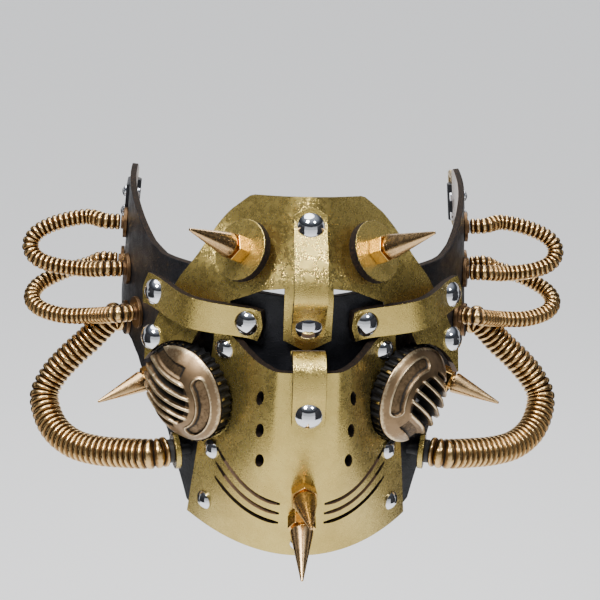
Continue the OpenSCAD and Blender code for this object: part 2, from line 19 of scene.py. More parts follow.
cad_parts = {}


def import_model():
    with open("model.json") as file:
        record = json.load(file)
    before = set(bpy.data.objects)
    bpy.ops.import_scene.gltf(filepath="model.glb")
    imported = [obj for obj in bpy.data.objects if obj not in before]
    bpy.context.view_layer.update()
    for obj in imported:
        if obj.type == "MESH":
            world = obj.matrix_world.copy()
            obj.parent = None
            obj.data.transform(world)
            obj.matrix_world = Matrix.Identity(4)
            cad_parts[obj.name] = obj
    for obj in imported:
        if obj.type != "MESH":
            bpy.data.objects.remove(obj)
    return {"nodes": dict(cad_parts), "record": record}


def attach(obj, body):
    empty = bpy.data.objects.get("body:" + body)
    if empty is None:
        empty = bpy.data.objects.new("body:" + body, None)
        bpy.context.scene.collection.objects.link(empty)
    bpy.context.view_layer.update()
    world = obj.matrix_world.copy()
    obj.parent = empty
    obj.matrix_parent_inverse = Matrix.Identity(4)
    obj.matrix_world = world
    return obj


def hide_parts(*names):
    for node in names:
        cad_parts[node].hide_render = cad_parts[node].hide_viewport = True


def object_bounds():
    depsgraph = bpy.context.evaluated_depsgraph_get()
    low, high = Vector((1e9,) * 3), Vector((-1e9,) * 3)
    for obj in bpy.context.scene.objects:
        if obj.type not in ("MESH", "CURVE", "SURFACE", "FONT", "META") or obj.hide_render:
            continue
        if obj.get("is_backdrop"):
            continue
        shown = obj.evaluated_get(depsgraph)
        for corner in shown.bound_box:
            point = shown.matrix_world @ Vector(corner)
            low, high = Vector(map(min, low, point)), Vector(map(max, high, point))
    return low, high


LOG = logging.getLogger("mask")
MM = 0.001
# which way each side lies along X, and how far each grille is turned, in degrees
SIDES = {"left": -1, "right": 1}
GRILLE_TURNS = {"left": 170.0, "right": -45.0}
Colour = tuple[float, float, float]


# ---------------------------------------------------------------- materials


class Sketch:
    """A material's node tree, with short calls for the few nodes that the finishes use."""

    def __init__(self, name: str) -> None:
        """Starts an empty material.

        Args:
            name: the material's name.
        """
        self.material = bpy.data.materials.new(f"{name}_look")
        self.material.use_nodes = True
        self.tree = self.material.node_tree
        self.shader = self.tree.nodes["Principled BSDF"]
        self.place = self.tree.nodes.new("ShaderNodeTexCoord").outputs["Object"]

    def _node(self, kind: str, **settings: object) -> bpy.types.Node:
        """Adds a node and sets its properties.

        Args:
            kind: the node's type name.
            settings: property names and values.

        Returns:
            The new node.
        """
        node = self.tree.nodes.new(kind)
        for key, value in settings.items():
            setattr(node, key, value)
        return node

    def _feed(self, socket: bpy.types.NodeSocket, value: object) -> None:
        """Links an output to a socket, or sets the socket's own value.

        Args:
            socket: the input socket.
            value: an output socket or a plain value.
        """
        if isinstance(value, bpy.types.NodeSocket):
            self.tree.links.new(value, socket)
        else:
            socket.default_value = value

    def noise(self, scale: float, detail: float = 3.0, rough: float = 0.6) -> bpy.types.NodeSocket:
        """Fractal noise over the piece.

        Args:
            scale: cycles in a metre.
            detail: octaves.
            rough: how much of each finer octave is kept.

        Returns:
            The noise value, 0 to 1.
        """
        node = self._node("ShaderNodeTexNoise")
        self._feed(node.inputs["Vector"], self.place)
        node.inputs["Scale"].default_value = scale
        node.inputs["Detail"].default_value = detail
        node.inputs["Roughness"].default_value = rough
        return node.outputs["Fac"]

    def cells(self, scale: float) -> bpy.types.NodeSocket:
        """Voronoi cells, as the pebbles of a leather grain.

        Args:
            scale: cells in a metre.

        Returns:
            The distance to the nearest cell's edge.
        """
        node = self._node("ShaderNodeTexVoronoi", feature="DISTANCE_TO_EDGE")
        self._feed(node.inputs["Vector"], self.place)
        node.inputs["Scale"].default_value = scale
        return node.outputs["Distance"]

    def ramp(self, value: bpy.types.NodeSocket, low: float, high: float,
             bottom: float = 0.0, top: float = 1.0) -> bpy.types.NodeSocket:
        """Stretches a value smoothly from one range to another.

        Args:
            value: the input.
            low: input that gives bottom.
            high: input that gives top.
            bottom: lowest result.
            top: highest result.

        Returns:
            The stretched value.
        """
        node = self._node("ShaderNodeMapRange", interpolation_type="SMOOTHSTEP")
        self._feed(node.inputs["Value"], value)
        for name, number in (("From Min", low), ("From Max", high), ("To Min", bottom), ("To Max", top)):
            node.inputs[name].default_value = number
        return node.outputs["Result"]

    def math(self, kind: str, a: object, b: object = 0.0) -> bpy.types.NodeSocket:
        """One arithmetic step.

        Args:
            kind: the operation.
            a: first value.
            b: second value.

        Returns:
            The result.
        """
        node = self._node("ShaderNodeMath", operation=kind)
        self._feed(node.inputs[0], a)
        self._feed(node.inputs[1], b)
        return node.outputs[0]

    def blend(self, share: object, a: object, b: object) -> bpy.types.NodeSocket:
        """Mixes two colours.

        Args:
            share: 0 for a, 1 for b.
            a: first colour.
            b: second colour.

        Returns:
            The mixed colour.
        """
        node = self._node("ShaderNodeMix", data_type="RGBA")
        self._feed(node.inputs["Factor"], share)
        for socket, colour in ((node.inputs["A"], a), (node.inputs["B"], b)):
            self._feed(socket, (*colour, 1.0) if isinstance(colour, tuple) else colour)
        return node.outputs["Result"]

    def attribute(self, name: str) -> bpy.types.NodeSocket:
        """A number stored on the piece's points.

        Args:
            name: the attribute.

        Returns:
            Its value.
        """
        node = self._node("ShaderNodeAttribute", attribute_name=name, attribute_type="GEOMETRY")
        return node.outputs["Fac"]

    def facing(self, power: float) -> bpy.types.NodeSocket:
        """How far the surface turns from the eye.

        Args:
            power: blend of the layer weight.

        Returns:
            0 when it faces the eye, 1 when it is edge-on.
        """
        node = self._node("ShaderNodeLayerWeight")
        node.inputs["Blend"].default_value = power
        return node.outputs["Facing"]

    def bump(self, height: bpy.types.NodeSocket, depth: float,
             under: bpy.types.NodeSocket | None = None) -> bpy.types.NodeSocket:
        """Relief made from a height value.

        Args:
            height: 0 to 1.
            depth: relief depth in metres.
            under: relief that this one lies on.

        Returns:
            The normal.
        """
        node = self._node("ShaderNodeBump")
        node.inputs["Distance"].default_value = depth
        self._feed(node.inputs["Height"], height)
        if under is not None:
            self._feed(node.inputs["Normal"], under)
        return node.outputs["Normal"]

    def finish(self, **values: object) -> bpy.types.Material:
        """Sets the shader's inputs.

        Args:
            values: input names, with underscores for spaces.

        Returns:
            The finished material.
        """
        for key, value in values.items():
            socket = self.shader.inputs[key.replace("_", " ")]
            self._feed(socket, (*value, 1.0) if isinstance(value, tuple) and len(value) == 3 else value)
        return self.material


@dataclass(frozen=True)
class GoldLeather:
    """Foil-coated leather: olive gold with painted shade that turns it brown where the surface turns from the
    eye, and a fine sparkling grain.
    """

    light: Colour = (0.64, 0.49, 0.15)
    dark: Colour = (0.34, 0.225, 0.05)
    # edge: the dark brown painted shade that the colour goes to where the surface turns from the eye
    edge: Colour = (0.12, 0.06, 0.014)
    grain: float = 1700.0
    relief: float = 0.000035
    slot: str = "gold_leather"
    speck_per_relief: float = 5000.0

    def build(self) -> bpy.types.Material:
        """Makes the material.

        Returns:
            The material.
        """
        s = Sketch(self.slot)
        patch = s.ramp(s.noise(55, 3), 0.35, 0.7)
        speck = s.ramp(s.cells(self.grain), 0.16, 0.02)
        body = s.blend(s.math("MULTIPLY", patch, 0.35), self.light, self.dark)
        # painted shade: the colour darkens towards edge as the surface turns from the eye
        turned = s.ramp(s.facing(0.35), 0.25, 0.85)
        shaded = s.blend(turned, body, self.edge)
        base = s.blend(s.math("MULTIPLY", speck, self.relief * self.speck_per_relief), shaded, self.dark)
        pebble = s.bump(s.ramp(s.cells(self.grain), 0.0, 0.3), self.relief)
        fine = s.bump(s.noise(2600, 2, 0.6), self.relief * 0.35, pebble)
        rough = s.ramp(s.noise(420, 3), 0.3, 0.7, 0.2, 0.33)
        return s.finish(Base_Color=base, Metallic=0.92, Roughness=rough, Normal=fine)


@dataclass(frozen=True)
class BlackLeather:
    """Smooth black leather with a soft bluish sheen and a faint grain."""

    base: Colour = (0.006, 0.0065, 0.009)
    worn: Colour = (0.02, 0.021, 0.027)
    slot: str = "black_leather"

    def build(self) -> bpy.types.Material:
        """Makes the material.

        Returns:
            The material.
        """
        s = Sketch(self.slot)
        colour = s.blend(s.ramp(s.noise(90, 4), 0.45, 0.8), self.base, self.worn)
        pebble = s.bump(s.ramp(s.cells(1100), 0.0, 0.3), 0.00008)
        fine = s.bump(s.noise(2400, 2), 0.00004, pebble)
        rough = s.ramp(s.noise(260, 3), 0.3, 0.7, 0.36, 0.5)
        return s.finish(Base_Color=colour, Roughness=rough, Normal=fine, Specular_IOR_Level=0.35)


@dataclass(frozen=True)
class Suede:
    """The brown napped back of the leather."""

    low: Colour = (0.075, 0.036, 0.016)
    high: Colour = (0.17, 0.09, 0.042)
    slot: str = "suede_back"

    def build(self) -> bpy.types.Material:
        """Makes the material.

        Returns:
            The material.
        """
        s = Sketch(self.slot)
        nap = s.noise(1100, 6, 0.8)
        colour = s.blend(s.ramp(nap, 0.3, 0.7), self.low, self.high)
        mottled = s.blend(s.ramp(s.noise(110, 4), 0.35, 0.7, 0.0, 0.7), colour, self.low)
        return s.finish(Base_Color=mottled, Roughness=0.92, Normal=s.bump(nap, 0.00015), Sheen_Weight=0.4)


@dataclass(frozen=True)
class CutEdge:
    """The cut edge of a sheet of leather: fibres along the cut under a thin dye."""

    dye: Colour = (0.008, 0.006, 0.005)
    fibre: Colour = (0.045, 0.026, 0.015)
    slot: str = "cut_edge"

    def build(self) -> bpy.types.Material:
        """Makes the material.

        Returns:
            The material.
        """
        s = Sketch(self.slot)
        fibres = s.noise(1700, 4, 0.7)
        colour = s.blend(s.ramp(fibres, 0.45, 0.72), self.dye, self.fibre)
        fuzz = s.bump(fibres, 0.00012)
        return s.finish(Base_Color=colour, Roughness=0.8, Normal=fuzz, Specular_IOR_Level=0.12)


@dataclass(frozen=True)
class PlainMetal:
    """A metal with faint wear: darker smudges and a fine polish texture."""

    slot: str
    base: Colour
    smudge: Colour
    rough_low: float
    rough_high: float
    metallic: float = 1.0
    wear: float = 0.4
    relief: float = 0.00001

    def build(self) -> bpy.types.Material:
        """Makes the material.

        Returns:
            The material.
        """
        s = Sketch(self.slot)
        share = s.math("MULTIPLY", s.ramp(s.noise(260, 4), 0.45, 0.75), self.wear)
        colour = s.blend(share, self.base, self.smudge)
        rough = s.ramp(s.noise(700, 3), 0.3, 0.7, self.rough_low, self.rough_high)
        normal = s.bump(s.noise(1900, 2), self.relief)
        return s.finish(Base_Color=colour, Metallic=self.metallic, Roughness=rough, Normal=normal)


@dataclass(frozen=True)
class PaintedShadeRelief:
    """Antique metal with painted shade and highlights: its hollows are painted black as shade and its raised
    parts painted bright as highlights, over a random patina.

    The point attribute "relief" runs from 0 (painted shade) in the hollows to 1 (painted highlight) on the
    raised parts, and "sunk" is how far a point lies below the outer surface in millimetres; walls are painted
    darker as shade the deeper they go.
    """

    slot: str
    hollow: Colour
    body: Colour
    bright: Colour
    rough: float = 0.34

    def build(self) -> bpy.types.Material:
        """Makes the material.

        Returns:
            The material.
        """
        s = Sketch(self.slot)
        # painted shade: relief falls to 0 as a point sinks below the outer surface
        height = s.math("MULTIPLY", s.attribute("relief"), s.ramp(s.attribute("sunk"), 0.45, 1.5, 1.0, 0.0))
        broken = s.math("ADD", height, s.ramp(s.noise(900, 4, 0.7), 0.2, 0.8, -0.12, 0.12))
        # painted shade: the hollow colour on the low parts
        lower = s.blend(s.ramp(broken, 0.1, 0.55), self.hollow, self.body)
        patina = s.blend(s.math("MULTIPLY", s.ramp(s.noise(170, 4), 0.45, 0.8), 0.5), lower, self.hollow)
        # painted highlight: the bright colour on the raised parts
        colour = s.blend(s.ramp(broken, 0.72, 1.0), patina, self.bright)
        rough = s.ramp(broken, 0.0, 1.0, self.rough + 0.3, self.rough)
        normal = s.bump(s.noise(2200, 3), 0.00003)
        return s.finish(Base_Color=colour, Metallic=s.ramp(broken, 0.0, 0.35, 0.3, 1.0), Roughness=rough,
                        Normal=normal)


MADE: dict[str, bpy.types.Material] = {}


class Finish(Enum):
    """Every finish on the mask."""

    GOLD = GoldLeather()
    SMOOTH_GOLD = GoldLeather(relief=0.00002)
    BLACK = BlackLeather()
    SUEDE = Suede()
    EDGE = CutEdge()
    CHROME = PlainMetal("rivet_chrome", (0.83, 0.84, 0.87), (0.55, 0.57, 0.62), 0.05, 0.11, wear=0.25)
    HEX = PlainMetal("hex_brass", (0.80, 0.50, 0.16), (0.28, 0.15, 0.045), 0.14, 0.26)
    CONE = PlainMetal("cone_bronze", (0.64, 0.42, 0.205), (0.38, 0.22, 0.09), 0.22, 0.30, wear=0.25)
    RING = PaintedShadeRelief("ring_black", (0.008, 0.008, 0.009), (0.02, 0.019, 0.018), (0.62, 0.46, 0.2), 0.36)
    POST = PlainMetal("post_steel", (0.45, 0.45, 0.47), (0.2, 0.2, 0.2), 0.3, 0.4)
    BACKING = PlainMetal("backing_dark", (0.008, 0.008, 0.008), (0.015, 0.013, 0.012), 0.6, 0.8, metallic=0.0)
    GRILLE = PaintedShadeRelief("grille_bronze", (0.008, 0.006, 0.004), (0.25, 0.165, 0.09), (0.76, 0.60, 0.37), 0.32)
    HOSE = PaintedShadeRelief("hose_bronze", (0.006, 0.004, 0.002), (0.27, 0.15, 0.055), (0.72, 0.48, 0.21), 0.24)
    FLANGE = PlainMetal("flange_bronze", (0.17, 0.10, 0.05), (0.05, 0.03, 0.02), 0.35, 0.5)
    COLLAR = PlainMetal("collar_black", (0.012, 0.012, 0.013), (0.03, 0.03, 0.03), 0.45, 0.6, metallic=0.0)
    LOOP = PlainMetal("loop_metal", (0.60, 0.44, 0.21), (0.26, 0.17, 0.08), 0.22, 0.36)

    def material(self) -> bpy.types.Material:
        """The finish's material, made on first use.

        Returns:
            The material.
        """
        if self.name not in MADE:
            MADE[self.name] = self.value.build()
        return MADE[self.name]


# ---------------------------------------------------------------- pieces from CAD solids


class Piece:
    """One shown piece that stands for a CAD node."""

    def __init__(self, node: str, mesh: bpy.types.Mesh, finishes: list[Finish]) -> None:
        """Puts a mesh in the scene, on its node's body.

        Args:
            node: the CAD node that the piece stands for.
            mesh: the finished mesh, with its place in it.
            finishes: one for each material slot of the mesh.
        """
        self.node = node
        self.object = bpy.data.objects.new(f"{node}_look", mesh)
        bpy.context.scene.collection.objects.link(self.object)
        for finish in finishes:
            mesh.materials.append(finish.material())
        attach(self.object, body_of_node(node))
        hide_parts(node)
        LOG.info("%s: %d faces", self.object.name, len(mesh.polygons))


RECORD: dict = {}


def body_of_node(node: str) -> str:
    """The body that carries a node.

    Args:
        node: the CAD node.

    Returns:
        The body's name.
    """
    for body, nodes in RECORD["behaviour"]["bodies"].items():
        if node in nodes:
            return body
    raise KeyError(node)


def joint_of(body: str) -> dict:
    """The joint that moves a body.

    Args:
        body: the child body.

    Returns:
        The joint's record.
    """
    return next(j for j in RECORD["behaviour"]["joints"] if j["child"] == body)


def welded(node: str) -> bmesh.types.BMesh:
    """A copy of a CAD node's mesh with its loose triangles joined.

    Args:
        node: the CAD node.

    Returns:
        The joined mesh.
    """
    bm = bmesh.new()
    bm.from_mesh(bpy.data.objects[FRAME_NODES[node].name].data)
    bmesh.ops.remove_doubles(bm, verts=bm.verts, dist=0.004 * MM)
    return bm


FRAME_NODES: dict = {}


def smoothed(bm: bmesh.types.BMesh, sharp: float) -> None:
    """Shades a mesh smoothly except across sharp corners.

    Args:
        bm: the mesh.
        sharp: the least angle of a sharp corner, in degrees.
    """
    limit = math.radians(sharp)
    for face in bm.faces:
        face.smooth = True
    for edge in bm.edges:
        edge.smooth = edge.is_manifold and edge.calc_face_angle(0.0) < limit


def as_mesh(bm: bmesh.types.BMesh, name: str) -> bpy.types.Mesh:
    """Turns the working mesh into a data block.

    Args:
        bm: the working mesh, which is freed.
        name: the data block's name.

    Returns:
        The data block.
    """
    mesh = bpy.data.meshes.new(name)
    bm.to_mesh(mesh)
    bm.free()
    return mesh


def solid_piece(node: str, finish: Finish, sharp: float = 32.0, bevel: float = 0.0) -> Piece:
    """A hard part: its CAD solid with smooth shading and softened corners.

    Args:
        node: the CAD node.
        finish: its finish.
        sharp: least angle of a corner that stays sharp, in degrees.
        bevel: width of the softened corners.

    Returns:
        The piece.
    """
    bm = welded(node)
    bmesh.ops.dissolve_limit(bm, angle_limit=math.radians(0.5), verts=bm.verts, edges=bm.edges)
    smoothed(bm, sharp)
    piece = Piece(node, as_mesh(bm, node), [finish])
    if bevel > 0:
        soften(piece.object, bevel, sharp)
    return piece


def soften(obj: bpy.types.Object, width: float, angle: float) -> None:
    """Rounds an object's sharp corners a little.

    Args:
        obj: the object.
        width: the bevel's width.
        angle: least angle of a corner that is rounded, in degrees.
    """
    bevel = obj.modifiers.new("edges", "BEVEL")
    bevel.width = width
    bevel.segments = 2
    bevel.limit_method = "ANGLE"
    bevel.angle_limit = math.radians(angle)
    bevel.harden_normals = True


@dataclass(frozen=True)
class LeatherSheet:
    """A leather piece: finished face, napped back and cut edge, told apart by how thick the solid is."""

    node: str
    face: Finish
    back: Finish = Finish.SUEDE
    edge: Finish = Finish.EDGE
    thickness: float = 3.4 * MM
    middle: tuple[float, float, float] = (0.0, 60 * MM, -20 * MM)
    bevel: float = 0.35 * MM

    def build(self) -> Piece:
        """Makes the piece.

        Returns:
            The piece.
        """
        bm = welded(self.node)
        smoothed(bm, 38.0)
        bm.faces.ensure_lookup_table()
        tree = BVHTree.FromBMesh(bm)
        middle = Vector(self.middle)
        for face in bm.faces:
            face.material_index = self._zone(face, tree, middle)
        piece = Piece(self.node, as_mesh(bm, self.node), [self.face, self.back, self.edge])
        if self.bevel > 0:
            soften(piece.object, self.bevel, 50.0)
        return piece

    def _zone(self, face: bmesh.types.BMFace, tree: BVHTree, middle: Vector) -> int:
        """Which side of the leather a face belongs to.

        Args:
            face: the face.
            tree: the solid, for measuring through it.
            middle: a point inside the head.

        Returns:
            0 for the finished face, 1 for the back, 2 for the cut edge.
        """
        centre = face.calc_center_median()
        hit = tree.ray_cast(centre - face.normal * 0.01 * MM, -face.normal)
        through = hit[3] if hit[3] is not None else 1.0
        if through > self.thickness:
            return 2
        return 0 if face.normal.dot(centre - middle) > 0 else 1


# ---------------------------------------------------------------- hoses


def smooth_path(points: np.ndarray, count: int) -> np.ndarray:
    """Points along a Catmull-Rom curve, an even distance apart.

    Args:
        points: the control points, one a row.
        count: how many points to give.

    Returns:
        The curve's points.
    """
    ends = np.vstack([2 * points[0] - points[1], points, 2 * points[-1] - points[-2]])
    t = np.linspace(0, 1, 60, endpoint=False)[:, None]
    spans = []
    for p0, p1, p2, p3 in zip(ends, ends[1:], ends[2:], ends[3:]):
        spans.append(0.5 * (2 * p1 + (p2 - p0) * t + (2 * p0 - 5 * p1 + 4 * p2 - p3) * t**2
                            + (3 * p1 - p0 - 3 * p2 + p3) * t**3))
    line = np.vstack([*spans, points[-1:]])
    travel = np.concatenate([[0], np.cumsum(np.linalg.norm(np.diff(line, axis=0), axis=1))])
    even = np.linspace(0, travel[-1], count)
    return np.stack([np.interp(even, travel, line[:, k]) for k in range(3)], axis=1)


def frames_along(line: np.ndarray) -> tuple[np.ndarray, np.ndarray]:
    """Two directions across a line at each of its points, turning as little as possible.

    Args:
        line: the line's points.

    Returns:
        The two directions, one row for each point.
    """
    tangent = np.gradient(line, axis=0)
    tangent /= np.linalg.norm(tangent, axis=1)[:, None]
    across = np.cross(tangent[0], [0.0, 0.68, -0.73])
    firsts = []
    for d in tangent:
        across = across - d * (across @ d)
        across /= np.linalg.norm(across)
        firsts.append(across)
    first = np.array(firsts)
    return first, np.cross(tangent, first)


@dataclass(frozen=True)
class HoseKind:
    """A wound hose: outer radius, distance between ribs and how deep its grooves are."""

    radius: float
    pitch: float
    groove: float


THIN = HoseKind(3.3 * MM, 2.15 * MM, 0.85 * MM)
THICK = HoseKind(5.7 * MM, 2.5 * MM, 1.15 * MM)

UPPER_ROUTE = ((72.1, 77.9, 8.3), (78.2, 77.1, 8.9), (85.5, 80, 9.6), (96.5, 77.5, 8),
               (104.5, 74.5, 4.7), (107.3, 71.5, 0.3), (104.7, 68.5, -4.2), (96.8, 66, -6.6),
               (85, 64, -7.3), (76.2, 60.7, -5.9), (70.2, 62.5, -6.4))
MIDDLE_ROUTE = ((74.5, 82.2, -9.7), (80.7, 81.4, -9), (86, 82, -11.4), (96, 79.5, -14),
                (105, 73.5, -17.2), (107.3, 67, -20.4), (103.4, 61.5, -23.2), (93.5, 56.5, -24.2),
                (81, 52, -22.4), (70.5, 43, -18), (64.7, 45.5, -18.4))
LOWER_ROUTE = ((70, 60.1, -26.4), (74.9, 58.4, -26), (83.5, 56.5, -34.5), (91, 54, -41),
               (97.5, 51.5, -48), (100.8, 47.5, -54.6), (98.8, 41.5, -60.5), (94, 35, -64.6),
               (86, 28, -66.4), (76, 21.6, -65.4), (65, 16.5, -63.4), (55.3, 12.7, -61.5),
               (49.5, 14.5, -61.5))


@dataclass(frozen=True)
class Hose:
    """A ribbed hose along its route: rounded ribs with narrow grooves between them, painted bright on the
    crests as highlights and dark in the grooves as shade.
    """

    node: str
    side: int
    kind: HoseKind
    route: tuple[tuple[float, float, float], ...]
    around: int = 28
    rings_per_rib: int = 8

    def build(self) -> Piece:
        """Sweeps the rib profile along the route.

        Returns:
            The piece.
        """
        points = np.array(self.route, float) * MM * [self.side, 1, 1]
        length = np.linalg.norm(np.diff(smooth_path(points, 400), axis=0), axis=1).sum()
        ribs = round(length / self.kind.pitch)
        line = smooth_path(points, ribs * self.rings_per_rib + 1)
        first, second = frames_along(line)
        phase = np.linspace(0, ribs, len(line)) % 1.0
        crest = np.sqrt(np.clip(1 - (2.3 * np.abs(phase - 0.5)) ** 2.2, 0, 1))
        radius = self.kind.radius - self.kind.groove * (1 - crest)
        angle = np.linspace(0, 2 * math.pi, self.around, endpoint=False)
        ring = (np.cos(angle)[None, :, None] * first[:, None, :]
                + np.sin(angle)[None, :, None] * second[:, None, :])
        grid = line[:, None, :] + radius[:, None, None] * ring
        mesh = tube_mesh(self.node, grid)
        # painted highlight on the rib crests and painted shade in the grooves; the end caps get a middle tone
        store_points(mesh, "relief", np.concatenate([np.repeat(crest, self.around), [0.4, 0.4]]))
        return Piece(self.node, mesh, [Finish.HOSE])


def tube_mesh(name: str, grid: np.ndarray, sharp: float = 60.0) -> bpy.types.Mesh:
    """A closed tube from rings of points.

    Args:
        name: the mesh's name.
        grid: rings by points by 3.
        sharp: least angle of a corner that stays sharp, in degrees.

    Returns:
        The mesh, whose last two points are the middles of its ends.
    """
    rings, around, _ = grid.shape
    points = np.vstack([grid.reshape(-1, 3), grid[0].mean(0), grid[-1].mean(0)])
    i, j = np.meshgrid(np.arange(rings - 1), np.arange(around), indexing="ij")
    k = (j + 1) % around
    quads = np.stack([i * around + j, i * around + k, (i + 1) * around + k, (i + 1) * around + j], -1)
    faces = [tuple(map(int, q)) for q in quads.reshape(-1, 4)]
    start, last = rings * around, (rings - 1) * around
    faces += [(start, (j + 1) % around, j) for j in range(around)]
    faces += [(start + 1, last + j, last + (j + 1) % around) for j in range(around)]
    mesh = bpy.data.meshes.new(name)
    mesh.from_pydata([tuple(map(float, p)) for p in points], [], faces)
    bm = bmesh.new()
    bm.from_mesh(mesh)
    bmesh.ops.recalc_face_normals(bm, faces=bm.faces)
    smoothed(bm, sharp)
    bm.to_mesh(mesh)
    bm.free()
    return mesh


# ---------------------------------------------------------------- grilles and rings


def step(low: float, high: float, value: np.ndarray) -> np.ndarray:
    """A smooth step.

    Args:
        low: where it starts to rise.
        high: where it reaches 1.
        value: the input.

    Returns:
        0 below low, 1 above high.
    """
    t = np.clip((value - low) / (high - low), 0, 1)
    return t * t * (3 - 2 * t)


@dataclass(frozen=True)
class Grille:
    """A domed casting with louvre fins over open slots, a bean-shaped recess and a pocket beside the fins.

    It is a height field over a round plan. Lengths inside it are millimetres: x runs along the fins from
    the bean to the open side, y across them and z out of the dome, with z = 0 at its seat.
    """

    side: str
    turn: float
    seat: float = 4.8
    height: float = 8.0
    radius: float = 17.8
    fin_gap: float = 4.0
    fin_half: float = 0.62
    fin_arc: float = 9.3
    slot_start: float = 2.6
    notch: float = 1.9
    bean: tuple[float, float, float] = (13.35, 1.75, 0.82)
    rings: int = 84
    around: int = 440
    plain_tone: float = 0.66
    border_rise: float = 0.42
    bean_depth: float = 0.85
    bed_edge: tuple[float, float] = (7.6, 8.0)
    bed_depth: float = 0.9
    slot_floor: float = 0.3
    fin_lift: float = 0.75
    fin_climb: float = 1.5
    fin_crown: float = 0.35
    pocket_depth: float = 0.9
    hook_rise: float = 0.55
    side_slot_start: float = 9.9
    side_slot_slope: float = 0.045
    side_slot_floor: float = 0.6
    lip_rise: float = 0.45
    ripple: float = 0.05

    def build(self) -> Piece:
        """Makes the piece, with its painted shade and highlights and how far each point is sunk below the
        dome.

        Returns:
            The piece.
        """
        node = f"{self.side}_grille"
        rho = np.linspace(0.02, 1, self.rings)[:, None]
        theta = np.linspace(0, 2 * math.pi, self.around, endpoint=False)[None, :]
        cos, sin = np.cos(theta), np.sin(theta)
        reach = self.radius - self.notch * self._open(self.radius * cos, self.radius * sin)
        x, y = rho * reach * cos, rho * reach * sin
        z, relief = self._surface(x, y)
        top = np.stack([x, y, z], -1)
        skirt = top[-1:].copy()
        skirt[..., 2] = np.minimum(skirt[..., 2] - 0.3, 0.25)
        base = skirt * [0.97, 0.97, 0] + [0, 0, 0.15]
        grid = np.concatenate([base * [0.3, 0.3, 1], base, skirt, top[::-1]])
        # painted shade: the base rings under the grille are black, and the skirt takes part of the edge's
        # tone
        shade = np.concatenate([np.zeros((2, self.around)), relief[-1:] * 0.6, relief[::-1]])
        mesh = tube_mesh(node, self._to_world(grid), 75.0)
        ends = [0.0, float(relief[0].mean())]
        store_points(mesh, "relief", np.concatenate([shade.ravel(), ends]))
        below = self._dome(grid[..., 0], grid[..., 1]) - grid[..., 2]
        store_points(mesh, "sunk", np.concatenate([np.maximum(below, 0).ravel(), [5.0, 0.0]]))
        return Piece(node, mesh, [Finish.GRILLE])

    def _to_world(self, grid: np.ndarray) -> np.ndarray:
        """Moves points from the grille's own axes to the frame.

        Args:
            grid: points in millimetres.

        Returns:
            Points in metres.
        """
        joint = joint_of(f"{self.side}_grille")
        out = np.array(joint["axis"], float)
        level = np.cross([0, 0, 1], out)
        level /= np.linalg.norm(level)
        rise = np.cross(out, level)
        t = math.radians(self.turn)
        ex = math.cos(t) * level + math.sin(t) * rise
        ey = -math.sin(t) * level + math.cos(t) * rise
        spot = np.array(joint["pos_m"], float) + out * self.seat * MM
        return spot + MM * (grid[..., :1] * ex + grid[..., 1:2] * ey + grid[..., 2:] * out)

    def _open(self, x: np.ndarray, y: np.ndarray) -> np.ndarray:
        """Where the four long slots between the fins are.

        Args:
            x: along the fins.
            y: across the fins.

        Returns:
            1 in a slot, 0 outside.
        """
        wide = 1.38
        inside = sum(1 - step(wide - 0.12, wide + 0.12, np.abs(y - k * self.fin_gap)) for k in
                     (-1.5, -0.5, 0.5, 1.5))
        return inside * step(self.slot_start, self.slot_start + 0.4, self._from_bean(x, y))

    def _dome(self, x: np.ndarray, y: np.ndarray) -> np.ndarray:
        """Height of the plain dome, a cap of a ball.

        Args:
            x: along the fins.
            y: across the fins.

        Returns:
            Height over the seat.
        """
        ball = (self.radius**2 + self.height**2) / (2 * self.height)
        return self.height - ball + np.sqrt(np.maximum(ball**2 - x**2 - y**2, 1.0))

    def _from_bean(self, x: np.ndarray, y: np.ndarray) -> np.ndarray:
        """Distance along the fins from the arc that they start on.

        Args:
            x: along the fins.
            y: across the fins.

        Returns:
            The distance, negative on the bean's side.
        """
        return x + np.sqrt(np.maximum(self.fin_arc**2 - y**2, 1.0))

    def _surface(self, x: np.ndarray, y: np.ndarray) -> tuple[np.ndarray, np.ndarray]:
        """Height of the casting, and its painted shade and highlights.

        Args:
            x: along the fins.
            y: across the fins.

        Returns:
            Height over the seat, and the painted light: 0 for painted shade in the hollows to 1 for painted
            highlights on the raised edges.
        """
        span = np.hypot(x, y)
        dome = self._dome(x, y)
        z, relief = dome.copy(), np.full(x.shape, self.plain_tone)
        rim = step(self.radius - 1.3, self.radius - 0.3, span)
        # painted highlight along the rim
        relief += 0.2 * rim

        # bean-shaped recess with a raised border; painted highlight on the border, painted shade on its floor
        # and in a dark line just inside the border
        mid, half, spread = self.bean
        angle = np.arctan2(y, -x)
        across = np.hypot(span - mid, mid * np.maximum(np.abs(angle) - spread, 0))
        floor = 1 - step(half - 0.3, half, across)
        border = np.exp(-((across - half - 0.35) / 0.3) ** 2)
        z += self.border_rise * border - self.bean_depth * floor
        relief += 0.3 * border - 0.08 * floor - 0.5 * np.exp(-((across - half + 0.25) / 0.28) ** 2)

        # shallow bed that the fins start from, then open slots, both with painted shade
        bed = (1 - step(*self.bed_edge, np.abs(y))) * step(0.6, 1.0, self._from_bean(x, y))
        z -= self.bed_depth * bed
        relief -= 0.33 * bed
        slots = self._open(x, y)
        well = slots * (z - self.slot_floor)
        z -= well
        relief = relief * (1 - slots) - 0.1 * slots

        # fins stand proud, with rounded tops and ends, painted bright on top as highlights and darker down
        # their sides
        for k in (-2, -1, 0, 1, 2):
            lift = self.fin_lift + self.fin_climb * step(10, 18, x)
            off = np.abs(y - k * self.fin_gap)
            body = 1 - step(self.fin_half - 0.1, self.fin_half + 0.12, off)
            body *= step(0, 0.5, self._from_bean(x, y))
            crown = lift + dome - self.fin_crown * (off / self.fin_half) ** 2
            z = z * (1 - body) + crown * body
            relief = relief * (1 - body) + body * (0.98 - 0.3 * step(0.35, 0.7, off))
